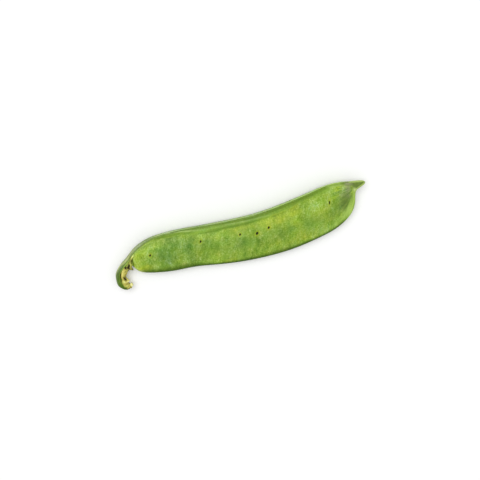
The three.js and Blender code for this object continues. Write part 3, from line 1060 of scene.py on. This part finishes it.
def skin_relief(grid):
    """Relief of the skin along its normals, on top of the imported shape."""
    x, y, side, width = (grid[key] for key in ("x", "y", "side", "width"))
    station, band, from_back = (grid[key] for key in ("station", "band", "from_back"))
    on_face = smoothstep(band, 3.6, 6.0) * smoothstep(from_back, 0.5, 2.5)
    wide = smoothstep(width, 6, 12)
    flat = np.stack([x, y, SIDES_APART * side], axis=-1)
    slanted = np.stack([x - VEIN_LEAN * y, y, SIDES_APART * side], axis=-1)
    along = np.stack([station, 3 * band, SIDES_APART * side], axis=-1)
    veins = noise(slanted / (1.1, 6.0, 1.0), 1, seed=11) + 0.5 * noise(slanted / (0.55, 4.0, 1.0), 1, seed=12)
    swells = noise(flat, 8.0, seed=13)
    dents = noise(flat, 3.0, seed=14)
    beads = noise(along / (2.2, 1.0, 1.0), 1, seed=15) * bump(band - 1.9, 1.4)
    creases = noise(along / (9.0, 1.25, 1.0), 1, seed=16) * (1 - wide)
    rib = between(x, (99, 106), (111, 113.5)) * bump(from_back - 2.4, 1.2)
    face = RELIEF["veins"] * veins + RELIEF["swells"] * swells + RELIEF["dents"] * dents
    edges = RELIEF["beads"] * beads + RELIEF["creases"] * creases + RELIEF["rib"] * rib
    pits = RELIEF["pinholes"] * bump(pinhole_distance(x, y), 0.8)
    return on_face * wide * face + edges - smoothstep(side, *UPPER_SIDE) * pits


def skin_values(grid):
    """Values at the skin's points that its material reads."""
    x, y, side = (grid[key] for key in ("x", "y", "side"))
    station, around, from_back = (grid[key] for key in ("station", "around", "from_back"))
    upper = smoothstep(side, *UPPER_SIDE)
    space = np.stack([x, 1.4 * y, 20 * side], axis=-1)
    near_x = x + 1.1 * noise(space, 3.5, seed=25) + 0.5 * noise(space, 1.3, seed=26)
    near_y = y + 1.1 * noise(space, 3.5, seed=27) + 0.5 * noise(space, 1.3, seed=28)

    def spread(places):
        return lerp(patches(places, TURNED_ROUND - near_x, near_y), patches(places, near_x, near_y), upper)

    def marks(places, at_x=x, at_y=y):
        return clamp(patches(places, at_x, at_y), 0, 1)

    tone = 0.5 + 0.12 * noise(space, 7.0, seed=21) + 0.08 * noise(space, 3.5, seed=22) + spread(CLOUDS)
    hue = 0.15 * noise(space, 7.0, seed=23) + spread(HUES)
    beak = smoothstep(x, *BEAK_ZONE)
    neck = 1 - smoothstep(station, *NECK_END)
    near_tip = smoothstep(x, *TIP_ZONE) * (1 - beak)

    # The seam's band and its lines.
    band = np.where(side > 0, grid["band"], (grid["band"] - 0.9).clip(0))
    seam = band * np.interp(x, SEAM_WIDENING_X, SEAM_WIDENING) + 6 * beak
    face_from = np.interp(x, FACE_FROM_X, FACE_FROM) + 0.25 * noise(space, 4.0, seed=29)
    face = smoothstep(seam, face_from, face_from + 0.7)
    crest_at = np.interp(x, CREST_X, CREST_AT) + 0.2 * noise(space, 3.0, seed=43)
    crest = np.interp(x, CREST_X, CREST_STRENGTH) * bump(grid["band"] - crest_at, 0.36)
    light_band = between(x, (101, 106), (108, 110.5)) * (1 - face) * smoothstep(band, 0.4, 0.9)
    fibres = noise(np.stack([station / 6, 1.7 * around, 3 * side], axis=-1), 1, seed=30)
    fibres = fibres * lerp(1.3, 2.4, neck) * (1 - 0.5 * smoothstep(x, 55, 75))

    # The back edge.
    # The pale rib near the tip, with a painted highlight.
    rib_reach = np.interp(x, RIB_X, RIB_REACH)
    rib = np.interp(x, RIB_X, RIB_STRENGTH) * (1 - smoothstep(from_back, 0.8 * rib_reach, 1.15 * rib_reach))
    # Painted shade along the back edge.
    shade_reach = np.interp(x, SHADE_X, SHADE_REACH)
    shade = 1 - smoothstep(from_back, 0.4 * shade_reach, 1.6 * shade_reach)
    shade = shade * between(x, (9.5, 13.0), (103.5, 108)) * lerp(0.5, 1, upper)
    rays = smoothstep(x, 44, 60) * between(from_back, (0.8, 2.5), (4, 8))

    # The neck, and the corner where it meets the back edge.
    rim_at = np.interp(station, NECK_STATIONS, RIM_AT)
    neck_rim = np.interp(station, NECK_STATIONS, NECK_RIM) * bump(around - rim_at, 0.48)
    corner = 0.7 * between(x, (6.5, 8), (11.5, 13.5)) * bump(from_back - 0.8, 0.6)
    # Painted shadow on the skin beside the calyx's edge.
    calyx_shadow = np.interp(station, NECK_STATIONS, CALYX_SHADOW) * bump(around - 2.9, 0.35)

    # The tip and the beak.
    tip_angle = np.arctan2(y - FAN_FROM_Y, FAN_FROM_X - x)
    tip_distance = np.hypot(y - FAN_FROM_Y, FAN_FROM_X - x)
    seam_rim = 1 - smoothstep(around, 0.75, 1.0)
    back_rim = 1 - smoothstep(from_back, 0.95, 1.2)
    beak_rim = beak * np.maximum(seam_rim, back_rim)
    inner_beak = 0.9 * smoothstep(x, *INNER_BEAK_ZONE) * (1 - seam_rim) * (1 - back_rim)

    wobble = 0.8 * noise(space, 6.0, seed=24)
    return {
        "tone": tone,
        "hue": hue * lerp(0.25, 1, face),
        "seam": seam,
        "far": smoothstep(x, *FAR_ZONE),
        "neck": neck,
        "face": face,
        "crest": crest * (side > 0),
        "fibres": fibres,
        "rays": 0.22 * rays,
        "streaked": 0.7 * near_tip,
        "fan": np.stack([9 * tip_angle, tip_distance / 7, 3 * side], axis=-1),
        # Painted shade over the hook and painted shadow over the foot.
        "hook": 1 - smoothstep(station, *HOOK_END),
        "foot": 1 - smoothstep(station, *FOOT_END),
        # Pale rib, beak rims and band, the rib with a painted highlight.
        "pale": clamp(rib + 0.8 * light_band + beak_rim, 0, 1),
        "fresh": marks(FRESH_PATCHES, near_x, near_y) * upper,
        "tan": marks(TAN_PATCHES, near_x, near_y) * upper,
        "purple": clamp(marks(PURPLE_PATCHES) + 0.15 * inner_beak, 0, 1),
        "olive": clamp(marks(OLIVE_PATCHES) + inner_beak, 0, 1),
        "rim": clamp(neck_rim + corner + 0.45 * beak_rim, 0, 1),
        # Painted shadow beside the calyx.
        "calyx_shadow": calyx_shadow,
        # Painted shade in the slit.
        "slit_shade": marks(SLIT_SHADE_PATCHES) * upper,
        # Painted highlights.
        "painted_highlight": marks(HIGHLIGHT_PATCHES) * upper,
        # Painted shade along the back edge, and a darker inside of the beak.
        "shade": clamp(shade + 0.3 * inner_beak, 0, 1),
        "pinhole": pinhole_distance(x, y) + 50 * (1 - upper),
        "grain": np.stack([x - VEIN_LEAN * y + wobble, y, 6 * side], axis=-1),
    }


def make_pod():
    grid = rings(ring_stations(NECK_START, STATIONS[-1]))
    points = grid["points"]
    points = points + grid_normals(points) * skin_relief(grid)[..., None]
    values = {key: with_hubs(value) for key, value in skin_values(grid).items()}
    faces = tube_faces(*points.shape[:2])
    mesh_object("pod_skin", with_hubs(points), faces, values, skin_material(), "pod")


def calyx_spread():
    """Rows of the calyx, and for each row distances round the section, between its two torn edges."""
    rows = [row for row, _, _ in CALYX_OUTLINE]
    row = np.linspace(rows[0], rows[-1], CALYX_STEPS["along"] + 1)
    start = spline(rows, [start for _, start, _ in CALYX_OUTLINE], row)
    end = spline(rows, [end for _, _, end in CALYX_OUTLINE], row)
    flat = np.zeros_like(row)
    tears = np.stack([row * 2.3, flat, flat], axis=-1)
    start = start + 0.22 * noise(tears, 1, seed=31) + 0.1 * noise(tears, 0.4, seed=32)
    end = end + 0.3 * noise(tears, 1, seed=33) + 0.14 * noise(tears, 0.4, seed=34)
    across = np.linspace(0, 1, CALYX_STEPS["round"] + 1)
    return row[:, None], lerp(start[:, None], end[:, None], across), across


def make_calyx():
    row, distance, across = calyx_spread()
    station = station_of_row(row[:, 0])
    back_edge = round_length(station)[:, None] / 2
    spurs = sum(rise * bump(row - at, half_rows) * bump(distance - back_edge - further, half)
                for at, further, rise, half_rows, half in SPURS)
    skin = skin_points(station, distance)
    outward = skin_normals(station, distance)
    space = np.stack([station[:, None] + 0 * distance, distance, 0 * distance], axis=-1)
    folds = noise(space * (0.35, 1.5, 1), 1, seed=35) + 0.6 * noise(space, 0.7, seed=36)
    fold_at = np.interp(row, CALYX_FOLD_ROWS, CALYX_FOLD_AT)
    ridge = bump(distance - fold_at, 0.28) * smoothstep(9.0 - row, 0, 1)
    rim = 1 - np.minimum(1, 6 * np.minimum(across, 1 - across))
    thickness = (CALYX_THICKNESS + spurs) * (1 - 0.55 * rim)
    outer_lift = TOUCH_GAP + thickness + 0.13 * folds + 0.22 * ridge
    outer = skin + outward * outer_lift[..., None]
    inner = skin + outward * CALYX_GAP
    # Darker at the torn edges, partly a browner dry edge and partly painted shade where the sheet stands off
    # the pod.
    tone = 0.7 + 0.1 * folds + 0.18 * ridge - 0.25 * rim ** 2 + patches(CALYX_PATCHES, row, distance)
    green = patches(GREEN_PATCHES, row, distance)
    values = {
        "tone": np.concatenate([tone.ravel(), tone.ravel() - 0.2]),
        "green": np.concatenate([green.ravel()] * 2),
        "grain": np.concatenate([space.reshape(-1, 3)] * 2),
    }
    points = np.concatenate([outer.reshape(-1, 3), inner.reshape(-1, 3)])
    faces = sheet_faces(*distance.shape)
    mesh_object("calyx_sheet", points, faces, values, dry_material("dry_calyx"), "calyx")


def make_stalk():
    grid = rings(np.linspace(0, NECK_START - TOUCH_GAP, STALK_RINGS))
    points = grid["points"]
    space = np.stack([3 * grid["side"], grid["band"], 0 * grid["band"]], axis=-1)
    ridges = noise(space, 0.5, seed=41)
    tears = noise(space, 0.35, seed=42)
    points = points + grid_normals(points) * (0.08 * ridges)[..., None]
    torn = 1 - smoothstep(grid["station"], 0, 0.9)
    further_in = 12
    axis = points[:1].mean(axis=1) - points[further_in:further_in + 1].mean(axis=1)
    points = points + unit(axis)[:, None] * (0.2 * torn * tears)[..., None]
    faces = tube_faces(*points.shape[:2])
    tone = 1.22 + 0.12 * ridges - 0.1 * torn
    values = {
        "tone": with_hubs(tone),
        "green": with_hubs(0 * tone),
        "grain": with_hubs(np.stack([grid["station"], grid["band"], grid["side"]], axis=-1)),
    }
    points = with_hubs(points)
    mesh_object("torn_stalk", points, faces, values, dry_material("dry_stalk"), "stalk")


def floor_material():
    shader = Shader("pale_floor")
    grain = shader.noise(shader.place(), 40.0)
    colour = shader.ramp(grain, [(-2.0, (0.93, 0.93, 0.93)), (2.0, (0.95, 0.95, 0.95))])
    return shader.finish(colour, 0.9, shader.relief(grain, 0.02, 0.05), 0.1)


def make_floor():
    half = FLOOR_HALF_IN_METRES
    mesh = bpy.data.meshes.new("floor")
    corners = [(-half, -half, 0), (half, -half, 0), (half, half, 0), (-half, half, 0)]
    mesh.from_pydata(corners, [], [(0, 1, 2, 3)])
    mesh.materials.append(floor_material())
    floor = bpy.data.objects.new("floor", mesh)
    bpy.context.scene.collection.objects.link(floor)


def make_lights():
    key = bpy.data.lights.new("key", "SUN")
    key.energy = KEY_STRENGTH
    key.angle = KEY_SPREAD
    sun = bpy.data.objects.new("key", key)
    sun.matrix_world = facing(KEY_FROM).to_4x4()
    bpy.context.scene.collection.objects.link(sun)
    world = bpy.data.worlds.new("studio")
    world.use_nodes = True
    background = world.node_tree.nodes["Background"]
    background.inputs["Color"].default_value = (1, 1, 1, 1)
    background.inputs["Strength"].default_value = SURROUND_STRENGTH
    bpy.context.scene.world = world


def facing(back):
    """The turn of a light or camera that looks against a direction."""
    return back.to_track_quat("Z", "Y").to_matrix()


def make_camera():
    back = Vector((0, math.sin(LEAN), math.cos(LEAN)))
    level_right = Vector((0, 1, 0)).cross(back).normalized()
    level_up = back.cross(level_right)
    right = math.cos(ROLL) * level_right - math.sin(ROLL) * level_up
    up = math.sin(ROLL) * level_right + math.cos(ROLL) * level_up
    data = bpy.data.cameras.new("camera")
    data.lens = LENS
    data.sensor_width = SENSOR
    camera = bpy.data.objects.new("camera", data)
    turn = Matrix((right, up, back)).transposed()
    camera.matrix_world = Matrix.Translation(TARGET + back * DISTANCE) @ turn.to_4x4()
    bpy.context.scene.collection.objects.link(camera)
    bpy.context.scene.camera = camera


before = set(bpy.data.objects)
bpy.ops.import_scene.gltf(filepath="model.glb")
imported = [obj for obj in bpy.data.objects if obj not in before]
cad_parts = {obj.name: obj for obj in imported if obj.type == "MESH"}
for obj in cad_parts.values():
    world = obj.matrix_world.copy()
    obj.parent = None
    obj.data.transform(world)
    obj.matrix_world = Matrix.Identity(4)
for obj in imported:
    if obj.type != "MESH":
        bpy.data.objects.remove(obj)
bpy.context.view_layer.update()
NECK_START = float(station_of_row(len(STALK_OUTLINE)))
SHIFT = frame_shift()
bpy.context.scene.view_settings.view_transform = "Standard"

make_camera()
make_lights()
make_floor()
make_pod()
make_calyx()
make_stalk()
